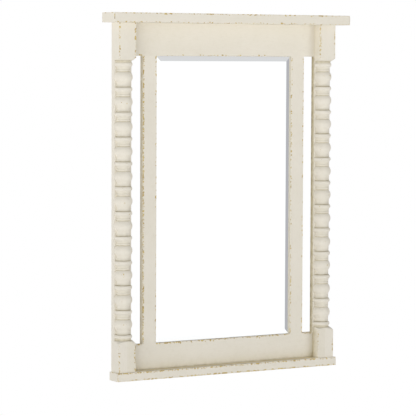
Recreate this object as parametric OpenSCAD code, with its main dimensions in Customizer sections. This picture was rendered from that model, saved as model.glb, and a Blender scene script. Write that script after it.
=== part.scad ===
// Rectangular wall mirror in a painted wood frame: a deep cap board, a shallower base board, a flat
// frame of stiles and rails with a see-through slot on each side, and half-round turned posts on the
// outer stiles. Front faces -Y, the wall is the plane Y = 0, and Z = 0 is the height of the hanger pins.

/* [Cap and base] */
// Height of the whole mirror, from the underside of the base to the top of the cap
overall_h = 1066.8; // [900:1:1300]
// How far the cap stands out past the frame at each side
cap_side = 31.75; // [10:0.05:60]
// How far the cap stands out in front of the posts
cap_front = 31.625; // [10:0.025:60]
// Thickness of the cap board
cap_t = 28.6; // [22:0.1:36]
// How far the base stands out past the frame at each side
base_side = 6.35; // [2:0.05:30]
// How far the base stands out in front of the posts
base_front = 6.225; // [2:0.025:30]
// Thickness of the base board
base_t = 25.4; // [18:0.1:32]

/* [Frame] */
// Width over the two outer stiles
frame_w = 749.3; // [700:0.1:850]
// Thickness of the stiles and rails
board_t = 16; // [15:0.1:20]
// Width of an outer stile and of the post on it
stile_w = 57.15; // [52:0.05:70]
// Width of the open slot between the outer and the inner stile
slot_w = 38.1; // [25:0.1:50]
// Width of an inner stile
inner_stile_w = 46; // [42:0.1:60]
// Height of the top rail
top_rail_h = 95.25; // [80:0.05:130]
// Height of the bottom rail
bottom_rail_h = 76.2; // [66:0.1:110]
// Radius that eases the visible edges of the boards
edge_r = 1.5; // [0.8:0.1:2.5]

/* [Turned posts] */
// Height of the top block, with its turned shoulder and neck
top_block_h = 114.3; // [100:0.1:130]
// Height of the bottom block, with its turned shoulder and neck
bottom_block_h = 97.2; // [85:0.1:120]
// Height of the round shoulder of a block
shoulder_h = 13; // [8:0.1:16]
// Height of the plain neck between a shoulder and the first bead
shoulder_neck_h = 4; // [2:0.1:8]
// How far the shoulder's neck lies inside the face of the block
shoulder_neck_inset = 4.3; // [2:0.1:8]
// Wanted distance from one large bead to the next
bead_pitch = 71.9; // [66:0.1:90]
// How far the small beads lie inside the face of the block
small_bead_inset = 1; // [0.5:0.1:2]
// Height of a small bead
small_bead_h = 11.2; // [8:0.1:13]
// How far the edges of the small beads lie below their crown
small_bead_rise = 2.6; // [1:0.1:4]
// Height of the cove under a small bead
cove_h = 7.6; // [4:0.1:9]
// How far the necks lie inside the face of the block
neck_inset = 8; // [5:0.1:11]
// Height of the quirk above and below the ring
quirk_h = 2.2; // [1:0.1:3]
// Height of the ring between the quirks
ring_h = 4.2; // [2.5:0.1:6]
// How far the ring stands out of the neck
ring_rise = 1.6; // [1:0.1:3]
// How far the large beads lie inside the face of the block
large_bead_inset = 0.5; // [0.3:0.1:2]
// Radius of the curve of a large bead
large_bead_curve = 20; // [17:0.5:24]
// How far the upper edge of a large bead lies below its crown
large_bead_top_drop = 6.5; // [4:0.1:7]
// How far the lower edge of a large bead lies below its crown
large_bead_low_drop = 3.3; // [2:0.1:5]
// Height of the flared neck under a large bead
flare_h = 7; // [4:0.1:9]
// How far the flare stands out of the neck at its lower end
flare_rise = 2.8; // [1:0.1:4]
// Height of the groove between the flare and the next small bead
groove_h = 1.6; // [1:0.1:2.5]
// How deep that groove is cut inside the flare
groove_depth = 1.2; // [0.5:0.1:2]

/* [Mirror] */
// Thickness of the lip in front of the glass
lip_t = 5.5; // [4:0.1:9]
// Width of the rebate that the glass sits in
rebate_w = 7; // [5:0.1:9]
// Thickness of the glass
glass_t = 4; // [3:0.1:5]
// Clearance between the edge of the glass and the rebate
glass_clearance = 1.5; // [0.5:0.1:2.5]
// Width of the bevel round the glass
bevel_w = 20.5; // [12:0.5:25]
// How much thinner the glass is at the edge of its bevel
bevel_drop = 2; // [1:0.1:2.5]
// Length of a setting block under the glass
setting_block_l = 25; // [15:1:50]
// Distance of each setting block from the middle of the glass
setting_block_x = 150; // [80:1:180]
// Width of the foam strips behind the glass
foam_w = 12; // [8:0.5:20]

/* [Backing] */
// Thickness of the backing panel
panel_t = 3; // [2.5:0.1:4]
// How far the backing panel laps over the frame
panel_lap = 18; // [15:0.5:22]
// Clearance between the backing panel and its recess
panel_clearance = 0.5; // [0.2:0.1:1]
// Number of screws along each long side of the backing panel
panel_screws_long = 5; // [3:1:8]
// Number of screws along each short side of the backing panel
panel_screws_short = 3; // [2:1:5]
// Radius of a backing screw
panel_screw_r = 1.5; // [1.2:0.1:1.8]
// Radius of the head of a backing screw
panel_screw_head_r = 3; // [2.4:0.1:3.6]
// Length of a backing screw
panel_screw_l = 11.5; // [8:0.5:12]

/* [Hangers] */
// Wood left between the pocket of a hanger and the cap
pocket_cover = 26; // [25:0.5:32]
// Depth of the pocket that a hanger lies in
pocket_d = 6; // [6:0.1:6.5]
// Width of the pocket that a hanger lies in
pocket_w = 27; // [26:0.1:27.5]
// Room for the wall hook above a raised ring
hook_room = 6; // [4:0.5:8]
// Room in the pocket below the strap
strap_room = 3; // [1:0.5:4]
// Radius at the corners of the pocket
pocket_r = 6; // [3:0.5:8]
// Width of a hanger strap
strap_w = 12; // [9:0.1:12.5]
// Thickness of a hanger strap
strap_t = 1.2; // [0.8:0.1:1.4]
// Length of a hanger strap below the pin
strap_l = 41; // [38:0.5:42]
// Radius of the ring's wire, and so of its pin
wire_r = 1.25; // [1:0.05:1.3]
// Clearance between the ring's pin and the eye of the strap
pin_clearance = 0.05; // [0.02:0.01:0.1]
// Gap between the ring and the strap when the ring hangs
ring_gap = 0.25; // [0.2:0.05:0.4]
// Inside width of the ring
ring_inside_w = 17; // [16:0.1:18]
// Radius of the bends beside the ring's pin
ring_bend_r = 3; // [2:0.1:3.2]
// Length of the straight part of the ring's legs
ring_leg = 2; // [1:0.1:4]
// Distance from the pin to the first strap screw
strap_screw_first = 24; // [23:0.5:25]
// Distance from the first strap screw to the second
strap_screw_step = 11; // [9:0.5:12]
// Radius of a strap screw
strap_screw_r = 1.9; // [1.5:0.1:2.1]
// Radius of the head of a strap screw
strap_screw_head_r = 3.4; // [2.8:0.1:3.8]
// Height of the head of a strap screw
strap_screw_head_h = 2; // [1.5:0.1:2.2]
// Wood left in front of the tip of a strap screw
strap_screw_cover = 1; // [0.5:0.1:3]

/* [Joinery] */
// Radius of the wooden dowels
dowel_r = 4; // [3:0.1:4]
// Length of a dowel between a rail and an outer stile
rail_dowel_l = 28; // [20:1:28]
// Height between the two dowels at the end of a rail
rail_dowel_step = 44; // [30:1:48]
// Length of a dowel between an inner stile and a rail
stile_dowel_l = 36; // [24:1:50]
// Distance between the two dowels at the end of an inner stile
stile_dowel_step = 16; // [14:0.5:18]
// Distance from the slot to the nearer of those dowels
stile_dowel_edge = 11; // [8:0.5:14]
// How deep a dowel enters the cap
cap_dowel_depth = 16; // [10:1:18]
// How deep the same dowel enters the frame
cap_dowel_foot = 20; // [14:1:24]
// Distance from the middle to the outer dowels of the top rail
cap_dowel_x = 180; // [120:5:240]
// Radius of the screws through the base
base_screw_r = 2.2; // [1.8:0.1:2.6]
// Radius of the heads of the base and post screws
big_head_r = 4.2; // [3.6:0.1:5]
// Length of the screws through the base
base_screw_l = 60; // [45:1:75]
// Distance from the middle to the base screws of the bottom rail
base_screw_x = 180; // [120:5:240]
// Radius of the screws that hold a post
post_screw_r = 2.2; // [1.8:0.1:2.6]
// Length of the screws that hold a post
post_screw_l = 34; // [28:1:36]
// Wood left between a post screw and the pocket or the tip of a base screw
screw_cover = 6; // [3:0.5:8]
// Clearance round every glued dowel and driven screw
fit_gap = 0.05; // [0.02:0.01:0.1]

/* [Hidden] */
$fn = 48;
eps = 0.5;

// Colours
paint = [0.89, 0.87, 0.82];
bare_wood = [0.80, 0.68, 0.50];
hardboard = [0.50, 0.38, 0.27];
zinc = [0.76, 0.77, 0.78];
silvered = [0.85, 0.88, 0.90];
foam = [0.92, 0.92, 0.90];
rubber = [0.15, 0.15, 0.16];

// Places of the boards, with heights above the underside of the base
frame_bottom = base_t;
frame_top = overall_h - cap_t;
opening_bottom = frame_bottom + bottom_rail_h;
opening_top = frame_top - top_rail_h;
opening_h = opening_top - opening_bottom;
outer_stile_in = frame_w / 2 - stile_w;
inner_stile_out = outer_stile_in - slot_w;
opening_x = inner_stile_out - inner_stile_w;
post_x = frame_w / 2 - stile_w / 2;
post_d = stile_w / 2;
cap_w = frame_w + 2 * cap_side;
cap_d = board_t + post_d + cap_front;
base_w = frame_w + 2 * base_side;
base_d = board_t + post_d + base_front;
mid_y = -board_t / 2 - panel_t / 2;

// Places of the glass and the backing
glass_lap = rebate_w - glass_clearance;
glass_x = opening_x + glass_lap;
glass_low = opening_bottom - glass_lap;
glass_high = opening_top + glass_lap;
bevel_seat = bevel_drop * (1 - glass_lap / bevel_w) - fit_gap;
glass_front = -(board_t - lip_t) - bevel_seat;
glass_back = glass_front + glass_t;
foam_t = -panel_t - glass_back;
panel_x = opening_x + panel_lap - panel_clearance;
panel_low = opening_bottom - panel_lap + panel_clearance;
panel_high = opening_top + panel_lap - panel_clearance;
panel_land = (rebate_w + panel_lap) / 2;
panel_screw_x = opening_x + panel_land;
panel_screw_low = opening_bottom - panel_land;
panel_screw_high = opening_top + panel_land;
panel_screw_head_h = panel_screw_head_r - panel_screw_r;

// Places of the hangers
eye_y = -pocket_d + strap_t + ring_gap + wire_r;
eye_r = wire_r + pin_clearance + strap_t;
ring_leg_x = ring_inside_w / 2 + wire_r;
ring_reach = ring_bend_r + ring_leg + ring_leg_x + wire_r;
pocket_high = frame_top - pocket_cover;
hanger_h = pocket_high - hook_room - ring_reach;
pocket_low = hanger_h - strap_l - strap_room;
strap_screw_l = board_t - pocket_d + strap_t - strap_screw_cover;

// Places of the post screws: the top block, three of the large beads and the bottom block
column_top = frame_top - top_block_h;
column_bottom = frame_bottom + bottom_block_h;
large_beads = round((column_top - column_bottom - small_bead_h) / bead_pitch);
pitch = (column_top - column_bottom - small_bead_h) / large_beads;
large_r = post_d - large_bead_inset;
small_r = post_d - small_bead_inset;
neck_r = post_d - neck_inset;
large_up = sqrt(pow(large_bead_curve, 2) - pow(large_bead_curve - large_bead_top_drop, 2));
large_down = sqrt(pow(large_bead_curve, 2) - pow(large_bead_curve - large_bead_low_drop, 2));
large_bead_start = small_bead_h + cove_h + 2 * quirk_h + ring_h;
large_bead_s = large_bead_start + large_up;
tail_h = pitch - large_bead_s - large_down - flare_h - groove_h;
screwed_beads = [1, floor(large_beads / 2), large_beads - 2];
bead_screw_heights = [for (i = screwed_beads) column_top - i * pitch - large_bead_s];
block_screw_heights = [pocket_low - big_head_r - screw_cover, base_screw_l + big_head_r + screw_cover];
post_screw_heights = concat(bead_screw_heights, block_screw_heights);

// A size in the frame's drawing is above the underside of the base, so the whole part comes down here
module hung() {
    translate([0, 0, -hanger_h]) children();
}

// A box given by its low and high corners
module block(low, high) {
    translate(low) cube(high - low);
}

// A rectangle with four rounded corners, from the origin
module eased_rect(size, r) {
    translate([r, 0]) square([size.x - 2 * r, size.y]);
    translate([0, r]) square([size.x, size.y - 2 * r]);
    for (x = [r, size.x - r], y = [r, size.y - r])
        translate([x, y]) circle(r);
}

// A shelf board with all its edges eased: its back on the wall, centred, its underside at z
module shelf_board(width, depth, thickness, z) {
    translate([-width / 2, -depth, z])
        intersection() {
            linear_extrude(thickness) eased_rect([width, depth], edge_r);
            translate([0, depth, 0])
                rotate([90, 0, 0])
                    linear_extrude(depth) eased_rect([width, thickness], edge_r);
            rotate([90, 0, 90])
                linear_extrude(width) eased_rect([depth, thickness], edge_r);
        }
}

// What easing takes off an edge that runs up Z from the origin, where the wood lies to -X and +Y
module ease_cut(length) {
    translate([-edge_r, 0, 0])
        difference() {
            translate([0, -eps, 0]) cube([edge_r + eps, edge_r + eps, length]);
            translate([0, edge_r, -eps]) cylinder(r = edge_r, h = length + 2 * eps);
        }
}

// Easing of a front edge that runs up, with the wood on the side towards -X (side = 1) or +X (side = -1)
module ease_up(x, low, high, side) {
    translate([x, -board_t, low])
        mirror([side < 0 ? 1 : 0, 0, 0]) ease_cut(high - low);
}

// Easing of a front edge that runs across, with the wood above it (side = 1) or below it (side = -1)
module ease_across(z, left, right, side) {
    translate([left, -board_t, z])
        mirror([0, 0, side > 0 ? 0 : 1])
            rotate([0, 90, 0]) ease_cut(right - left);
}

// The rebate for the glass and the recess for the backing panel, seen as one tool
module glass_rebate() {
    block([-opening_x - rebate_w, -(board_t - lip_t), opening_bottom - rebate_w],
        [opening_x + rebate_w, eps, opening_top + rebate_w]);
    block([-opening_x - panel_lap, -panel_t, opening_bottom - panel_lap],
        [opening_x + panel_lap, eps, opening_top + panel_lap]);
}

// A countersunk screw with its head at the origin and its point towards +Z
module sunk_screw(r, head_r, length, gap = 0) {
    cylinder(r1 = head_r + gap, r2 = r + gap, h = head_r - r);
    cylinder(r = r + gap, h = length + gap);
}

// A dowel that is centred on the origin and runs along Z
module dowel(length, gap = 0) {
    translate([0, 0, -length / 2 - gap]) cylinder(r = dowel_r + gap, h = length + 2 * gap);
}

// Dowels between a rail whose middle is at height z and the two outer stiles
module rail_dowel_set(z, gap = 0) {
    for (side = [-1, 1], step = [-0.5, 0.5])
        translate([side * outer_stile_in, mid_y, z + step * rail_dowel_step])
            rotate([0, 90, 0]) dowel(rail_dowel_l, gap);
}

module top_rail_dowel_set(gap = 0) {
    rail_dowel_set(frame_top - top_rail_h / 2, gap);
}

module bottom_rail_dowel_set(gap = 0) {
    rail_dowel_set(frame_bottom + bottom_rail_h / 2, gap);
}

// Dowels at both ends of one inner stile
module stile_dowel_set(side, gap = 0) {
    for (z = [opening_bottom, opening_top], step = [0, 1])
        translate([side * (inner_stile_out - stile_dowel_edge - step * stile_dowel_step), mid_y, z])
            dowel(stile_dowel_l, gap);
}

// Dowels between the cap and what carries it: each post block, each outer stile and the top rail
module cap_dowel_set(gap = 0) {
    length = cap_dowel_depth + cap_dowel_foot;
    z = frame_top + (cap_dowel_depth - cap_dowel_foot) / 2;
    for (side = [-1, 1]) {
        translate([side * post_x, -board_t - post_d / 2, z]) dowel(length, gap);
        translate([side * (post_x + stile_w / 4), mid_y, z]) dowel(length, gap);
    }
    for (x = [-cap_dowel_x, 0, cap_dowel_x])
        translate([x, mid_y, z]) dowel(length, gap);
}

// Screws up through the base into each post block, each outer stile and the bottom rail
module base_screw_set(gap = 0) {
    for (side = [-1, 1]) {
        translate([side * post_x, -board_t - post_d / 2, 0])
            sunk_screw(base_screw_r, big_head_r, base_screw_l, gap);
        translate([side * (post_x + stile_w / 4), -board_t / 2, 0])
            sunk_screw(base_screw_r, big_head_r, base_screw_l, gap);
        translate([side * base_screw_x, -board_t / 2, 0])
            sunk_screw(base_screw_r, big_head_r, base_screw_l, gap);
    }
}

// Screws from the back through one outer stile into its post
module post_screw_set(side, gap = 0) {
    for (z = post_screw_heights)
        translate([side * post_x, 0, z])
            rotate([90, 0, 0]) sunk_screw(post_screw_r, big_head_r, post_screw_l, gap);
}

// Screws of the backing panel, evenly spaced along its four sides
module panel_screw_set(gap = 0) {
    long_step = (panel_screw_high - panel_screw_low) / (panel_screws_long + 1);
    short_step = 2 * panel_screw_x / (panel_screws_short + 1);
    for (side = [-1, 1], i = [1:panel_screws_long])
        translate([side * panel_screw_x, 0, panel_screw_low + i * long_step])
            rotate([90, 0, 0])
                sunk_screw(panel_screw_r, panel_screw_head_r, panel_screw_l, gap);
    for (z = [panel_screw_low, panel_screw_high], i = [1:panel_screws_short])
        translate([-panel_screw_x + i * short_step, 0, z])
            rotate([90, 0, 0])
                sunk_screw(panel_screw_r, panel_screw_head_r, panel_screw_l, gap);
}

// Pan head screws of one hanger strap
module strap_screw_set(side, gap = 0) {
    for (i = [0, 1])
        translate([side * post_x, strap_t - pocket_d, hanger_h - strap_screw_first - i * strap_screw_step])
            rotate([90, 0, 0]) {
                cylinder(r = strap_screw_r + gap, h = strap_screw_l + gap);
                translate([0, 0, -strap_screw_head_h])
                    cylinder(r1 = strap_screw_head_r * 0.75, r2 = strap_screw_head_r, h = strap_screw_head_h);
            }
}

// The pocket that one hanger lies in
module hanger_pocket(side) {
    translate([side * post_x - pocket_w / 2, eps, pocket_low])
        rotate([90, 0, 0])
            linear_extrude(pocket_d + eps) eased_rect([pocket_w, pocket_high - pocket_low], pocket_r);
}

module cap_board() {
    color(paint) hung() difference() {
        shelf_board(cap_w, cap_d, cap_t, frame_top);
        cap_dowel_set(fit_gap);
    }
}

module base_board() {
    color(paint) hung() difference() {
        shelf_board(base_w, base_d, base_t, 0);
        base_screw_set(fit_gap);
    }
}

module top_rail() {
    color(paint) hung() difference() {
        block([-outer_stile_in, -board_t, opening_top], [outer_stile_in, 0, frame_top]);
        glass_rebate();
        ease_across(opening_top, -opening_x, opening_x, 1);
        for (side = [-1, 1]) {
            slot_mid = side * (outer_stile_in + inner_stile_out) / 2;
            ease_across(opening_top, slot_mid - slot_w / 2, slot_mid + slot_w / 2, 1);
            stile_dowel_set(side, fit_gap);
        }
        top_rail_dowel_set(fit_gap);
        cap_dowel_set(fit_gap);
        panel_screw_set(fit_gap);
    }
}

module bottom_rail() {
    color(paint) hung() difference() {
        block([-outer_stile_in, -board_t, frame_bottom], [outer_stile_in, 0, opening_bottom]);
        glass_rebate();
        ease_across(opening_bottom, -opening_x, opening_x, -1);
        for (side = [-1, 1]) {
            slot_mid = side * (outer_stile_in + inner_stile_out) / 2;
            ease_across(opening_bottom, slot_mid - slot_w / 2, slot_mid + slot_w / 2, -1);
            stile_dowel_set(side, fit_gap);
        }
        bottom_rail_dowel_set(fit_gap);
        base_screw_set(fit_gap);
        panel_screw_set(fit_gap);
    }
}

module outer_stile(side) {
    color(paint) hung() difference() {
        translate([side * post_x - stile_w / 2, -board_t, frame_bottom])
            cube([stile_w, board_t, frame_top - frame_bottom]);
        ease_up(side * frame_w / 2, frame_bottom, frame_top, side);
        ease_up(side * outer_stile_in, opening_bottom, opening_top, -side);
        hanger_pocket(side);
        top_rail_dowel_set(fit_gap);
        bottom_rail_dowel_set(fit_gap);
        cap_dowel_set(fit_gap);
        base_screw_set(fit_gap);
        post_screw_set(side, fit_gap);
        strap_screw_set(side, fit_gap);
    }
}

module inner_stile(side) {
    color(paint) hung() difference() {
        translate([side * (opening_x + inner_stile_w / 2) - inner_stile_w / 2, -board_t, opening_bottom])
            cube([inner_stile_w, board_t, opening_h]);
        glass_rebate();
        ease_up(side * inner_stile_out, opening_bottom, opening_top, side);
        ease_up(side * opening_x, opening_bottom, opening_top, -side);
        stile_dowel_set(side, fit_gap);
        panel_screw_set(fit_gap);
    }
}

// Points of a turned outline as [radius, distance below the top of the column], from the top down
function crown(r, s, h, rise, steps = 8) =
    let (curve = (h * h / 4 + rise * rise) / (2 * rise), half = asin(h / 2 / curve))
    [for (i = [0:steps])
        let (a = half * (2 * i / steps - 1))
        [r - curve + curve * cos(a), s + h / 2 + curve * sin(a)]];

function fade_in(r0, r1, s, h, steps = 4) =
    [for (i = [1:steps]) [r1 + (r0 - r1) * (1 - sin(90 * i / steps)), s + h * i / steps]];

function fade_out(r0, r1, s, h, steps = 3) =
    [for (i = [1:steps]) [r0 + (r1 - r0) * (1 - cos(90 * i / steps)), s + h * i / steps]];

function large_crown(s, steps = 10) =
    let (a0 = -asin(large_up / large_bead_curve), a1 = asin(large_down / large_bead_curve))
    [for (i = [0:steps])
        let (a = a0 + (a1 - a0) * i / steps)
        [large_r - large_bead_curve * (1 - cos(a)), s + large_bead_curve * sin(a)]];

// One repeat: small bead, cove, quirk, ring, quirk, large bead, tail, flared neck and groove
function repeat_outline(s) =
    let (
        cove_s = s + small_bead_h,
        ring_s = cove_s + cove_h + quirk_h,
        tail_s = s + large_bead_s + large_down,
        flare_r = neck_r + flare_rise)
    concat(
        crown(small_r, s, small_bead_h, small_bead_rise),
        fade_in(small_r - small_bead_rise, neck_r, cove_s, cove_h),
        crown(neck_r + ring_rise, ring_s, ring_h, ring_rise * 0.7, 4),
        [[neck_r, ring_s + ring_h + quirk_h / 2]],
        large_crown(s + large_bead_s),
        fade_in(large_r - large_bead_low_drop, neck_r, tail_s, tail_h),
        fade_out(neck_r, flare_r, tail_s + tail_h, flare_h),
        [[flare_r - groove_depth, s + pitch - groove_h / 2]]);

// The whole turned outline between the blocks, with the necks that run into the shoulders
function column_outline() =
    let (shoulder_r = post_d - shoulder_neck_inset, length = column_top - column_bottom)
    concat(
        [[0, -shoulder_neck_h], [shoulder_r, -shoulder_neck_h], [shoulder_r, 0]],
        [for (i = [0:large_beads - 1]) each repeat_outline(i * pitch)],
        crown(small_r, large_beads * pitch, small_bead_h, small_bead_rise),
        [[shoulder_r, length], [shoulder_r, length + shoulder_neck_h], [0, length + shoulder_neck_h]]);

// The round that cuts a block's corners where the turning begins, growing up +Z from the neck
module shoulder_round(height) {
    neck = post_d - shoulder_neck_inset;
    corner = post_d * sqrt(2);
    steps = 8;
    curve = [for (i = [0:steps]) [neck + (corner - neck) * sin(90 * i / steps), shoulder_h * i / steps]];
    rotate_extrude()
        polygon(concat([[0, 0]], curve, [[corner, height], [0, height]]));
}

// One square block, its turned shoulder towards -Z at the origin
module post_block(height) {
    intersection() {
        translate([-post_d, -post_d, 0])
            linear_extrude(height) {
                translate([0, edge_r]) square([stile_w, post_d - edge_r]);
                translate([edge_r, 0]) square([stile_w - 2 * edge_r, edge_r]);
                for (x = [edge_r, stile_w - edge_r])
                    translate([x, edge_r]) circle(edge_r);
            }
        shoulder_round(height);
    }
}

module turned_post(side) {
    color(paint) hung() difference() {
        translate([side * post_x, -board_t, 0]) {
            translate([0, 0, column_top])
                intersection() {
                    rotate([180, 0, 0]) rotate_extrude() polygon(column_outline());
                    translate([-stile_w, -stile_w, -frame_top]) cube([2 * stile_w, stile_w, 2 * frame_top]);
                }
            translate([0, 0, column_top + shoulder_neck_h]) post_block(top_block_h - shoulder_neck_h);
            translate([0, 0, column_bottom - shoulder_neck_h])
                mirror([0, 0, 1]) post_block(bottom_block_h - shoulder_neck_h);
        }
        cap_dowel_set(fit_gap);
        base_screw_set(fit_gap);
        post_screw_set(side, fit_gap);
    }
}

// The glass is a slab with a bevelled front: four sloping cuts leave the edge thinner than the middle
module bevel_cut(length) {
    rotate([90, 0, 90])
        linear_extrude(length, center = true)
            polygon([[-eps, -eps * bevel_w / bevel_drop], [bevel_drop, 0], [-eps, bevel_w * (1 + eps / bevel_drop)]]);
}

module mirror_glass() {
    mid_z = (glass_low + glass_high) / 2;
    color(silvered) hung() difference() {
        block([-glass_x, glass_front, glass_low], [glass_x, glass_back, glass_high]);
        for (side = [-1, 1]) {
            translate([0, glass_front, mid_z])
                mirror([0, 0, side < 0 ? 1 : 0])
                    translate([0, 0, -(glass_high - glass_low) / 2]) bevel_cut(4 * glass_x);
            translate([0, glass_front, mid_z])
                rotate([0, side * 90, 0])
                    translate([0, 0, -glass_x]) bevel_cut(2 * (glass_high - glass_low));
        }
    }
}

module glass_setting_blocks() {
    color(rubber) hung()
        for (side = [-1, 1])
            translate([side * setting_block_x - setting_block_l / 2, -(board_t - lip_t), glass_low - glass_clearance])
                cube([setting_block_l, board_t - lip_t - panel_t, glass_clearance]);
}

module glass_foam_strips() {
    color(foam) hung() {
        for (side = [-1, 1])
            translate([side * (glass_x - foam_w / 2) - foam_w / 2, glass_back, glass_low + foam_w])
                cube([foam_w, foam_t, glass_high - glass_low - 2 * foam_w]);
        for (z = [glass_low, glass_high - foam_w])
            translate([-glass_x, glass_back, z]) cube([2 * glass_x, foam_t, foam_w]);
    }
}

module backing_panel() {
    color(hardboard) hung() difference() {
        block([-panel_x, -panel_t, panel_low], [panel_x, 0, panel_high]);
        panel_screw_set(fit_gap);
    }
}

module backing_screws() {
    color(zinc) hung() panel_screw_set();
}

// The strap lies on the floor of its pocket and rolls into an eye round the ring's pin
module hanger_strap(side) {
    color(zinc) hung() translate([side * post_x, 0, hanger_h]) difference() {
        union() {
            translate([-strap_w / 2, eye_y, 0]) rotate([0, 90, 0]) cylinder(r = eye_r, h = strap_w);
            block([-strap_w / 2, -pocket_d, strap_w / 2 - strap_l], [strap_w / 2, strap_t - pocket_d, 0]);
            translate([0, strap_t - pocket_d, strap_w / 2 - strap_l])
                rotate([90, 0, 0]) cylinder(r = strap_w / 2, h = strap_t);
        }
        translate([-strap_w, eye_y, 0]) rotate([0, 90, 0]) cylinder(r = wire_r + pin_clearance, h = 2 * strap_w);
        for (i = [0, 1])
            translate([0, eps, -strap_screw_first - i * strap_screw_step])
                rotate([90, 0, 0]) cylinder(r = strap_screw_r + fit_gap, h = pocket_d + 2 * eps);
    }
}

// A wire ring shaped like a D, hanging down from its straight pin
module hanger_ring(side) {
    bend_z = -ring_bend_r;
    arc_z = bend_z - ring_leg;
    pin_l = 2 * (ring_leg_x - ring_bend_r);
    color(zinc) hung() translate([side * post_x, eye_y, hanger_h]) {
        translate([-pin_l / 2, 0, 0]) rotate([0, 90, 0]) cylinder(r = wire_r, h = pin_l);
        for (turn = [0, 1])
            mirror([turn, 0, 0]) {
                translate([pin_l / 2, 0, bend_z])
                    rotate([90, 0, 0]) rotate_extrude(angle = 90) translate([ring_bend_r, 0]) circle(wire_r);
                translate([ring_leg_x, 0, arc_z]) cylinder(r = wire_r, h = ring_leg);
            }
        translate([0, 0, arc_z])
            rotate([-90, 0, 0]) rotate_extrude(angle = 180) translate([ring_leg_x, 0]) circle(wire_r);
    }
}

module left_outer_stile() { outer_stile(-1); }
module right_outer_stile() { outer_stile(1); }
module left_inner_stile() { inner_stile(-1); }
module right_inner_stile() { inner_stile(1); }
module left_turned_post() { turned_post(-1); }
module right_turned_post() { turned_post(1); }
module left_hanger_strap() { hanger_strap(-1); }
module right_hanger_strap() { hanger_strap(1); }
module left_hanger_ring() { hanger_ring(-1); }
module right_hanger_ring() { hanger_ring(1); }
module left_hanger_screws() { color(zinc) hung() strap_screw_set(-1); }
module right_hanger_screws() { color(zinc) hung() strap_screw_set(1); }
module left_post_screws() { color(zinc) hung() post_screw_set(-1); }
module right_post_screws() { color(zinc) hung() post_screw_set(1); }
module top_rail_dowels() { color(bare_wood) hung() top_rail_dowel_set(); }
module bottom_rail_dowels() { color(bare_wood) hung() bottom_rail_dowel_set(); }
module left_inner_stile_dowels() { color(bare_wood) hung() stile_dowel_set(-1); }
module right_inner_stile_dowels() { color(bare_wood) hung() stile_dowel_set(1); }
module cap_dowels() { color(bare_wood) hung() cap_dowel_set(); }
module base_screws() { color(zinc) hung() base_screw_set(); }

cap_board();
base_board();
top_rail();
bottom_rail();
left_outer_stile();
right_outer_stile();
left_inner_stile();
right_inner_stile();
left_turned_post();
right_turned_post();
mirror_glass();
glass_setting_blocks();
glass_foam_strips();
backing_panel();
backing_screws();
left_hanger_strap();
right_hanger_strap();
left_hanger_ring();
right_hanger_ring();
left_hanger_screws();
right_hanger_screws();
left_post_screws();
right_post_screws();
top_rail_dowels();
bottom_rail_dowels();
left_inner_stile_dowels();
right_inner_stile_dowels();
cap_dowels();
base_screws();
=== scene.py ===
"""Looks of the rectangular wall mirror: worn cream paint, turned posts, bevelled glass and the hardware."""

import itertools
import math
import random

import bmesh
import bpy
import numpy as np
from mathutils import Matrix, Vector


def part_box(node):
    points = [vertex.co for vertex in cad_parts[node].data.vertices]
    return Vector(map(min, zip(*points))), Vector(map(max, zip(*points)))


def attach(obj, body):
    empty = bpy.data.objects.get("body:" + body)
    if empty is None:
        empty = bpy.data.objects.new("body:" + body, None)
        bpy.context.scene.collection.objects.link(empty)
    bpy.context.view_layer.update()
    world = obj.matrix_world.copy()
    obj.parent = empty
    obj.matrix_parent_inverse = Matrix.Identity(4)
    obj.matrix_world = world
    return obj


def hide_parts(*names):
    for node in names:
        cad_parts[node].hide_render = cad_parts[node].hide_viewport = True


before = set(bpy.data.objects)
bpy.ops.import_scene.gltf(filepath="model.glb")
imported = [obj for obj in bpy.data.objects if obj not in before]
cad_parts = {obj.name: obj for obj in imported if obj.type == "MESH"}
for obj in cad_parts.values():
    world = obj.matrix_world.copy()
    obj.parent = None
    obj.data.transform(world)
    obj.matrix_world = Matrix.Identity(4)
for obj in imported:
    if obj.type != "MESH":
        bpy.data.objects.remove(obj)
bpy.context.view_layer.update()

MM = 0.001
ROOT = "frame"

# Sizes of the wear
EASE = 1.5 * MM               # radius of a visible board edge
TIGHT = 0.08 * MM             # radius of an edge that is closed up in a joint
WEAR_REACH = 2.6 * MM         # how far wear spreads from an edge
FRONT_BIAS = 1.4 * MM         # how much further it spreads over the front faces
SIDE_SQUEEZE = 1.6            # how many times less far it spreads over the others
CHIP_SIZE = 3.0 * MM          # size of one chip of missing paint
CHIP_DEPTH = 0.35 * MM        # how deep a chip is
PATCH_SIZE = 9 * CHIP_SIZE    # size of the areas with more or fewer chips
WAVE_SIZE = 38 * MM           # length of the slow unevenness of an edge
WAVE_DEPTH = 0.08 * MM        # how deep that unevenness is
SHOULDER_EASE = 3.2 * MM      # how far the edge between a shoulder and the faces of its block is rubbed round
LOW_BLOCK = 110 * MM          # a post's lower block ends below this height above the post's foot

# How thick the chips lie: 0 leaves one here and there, 1 leaves hardly any paint. Two values are for the upper
# and the lower edges of a shelf, for the edges of a stile by the slot and by the glass, or for the upper block
# of a post toward the rail and away from it.
CHIPS = {
    "cap_board": (0.48, 0.46),
    "base_board": (0.62, 0.56),
    "top_rail": 0.3,
    "bottom_rail": 0.66,
    "left_inner_stile": (0.7, 0.22),
    "right_inner_stile": (0.3, 0.38),
    "left_outer_stile": (-0.5, -0.5),
    "right_outer_stile": (-0.5, -0.5),
    "left_turned_post": (0.52, 0.52),
    "right_turned_post": (0.62, 0.24),
}
LOW_BLOCK_CHIPS = 0.32        # on the lower block of a post
CROWN_CHIPS = -0.12           # on the crowns of its turning

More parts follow.
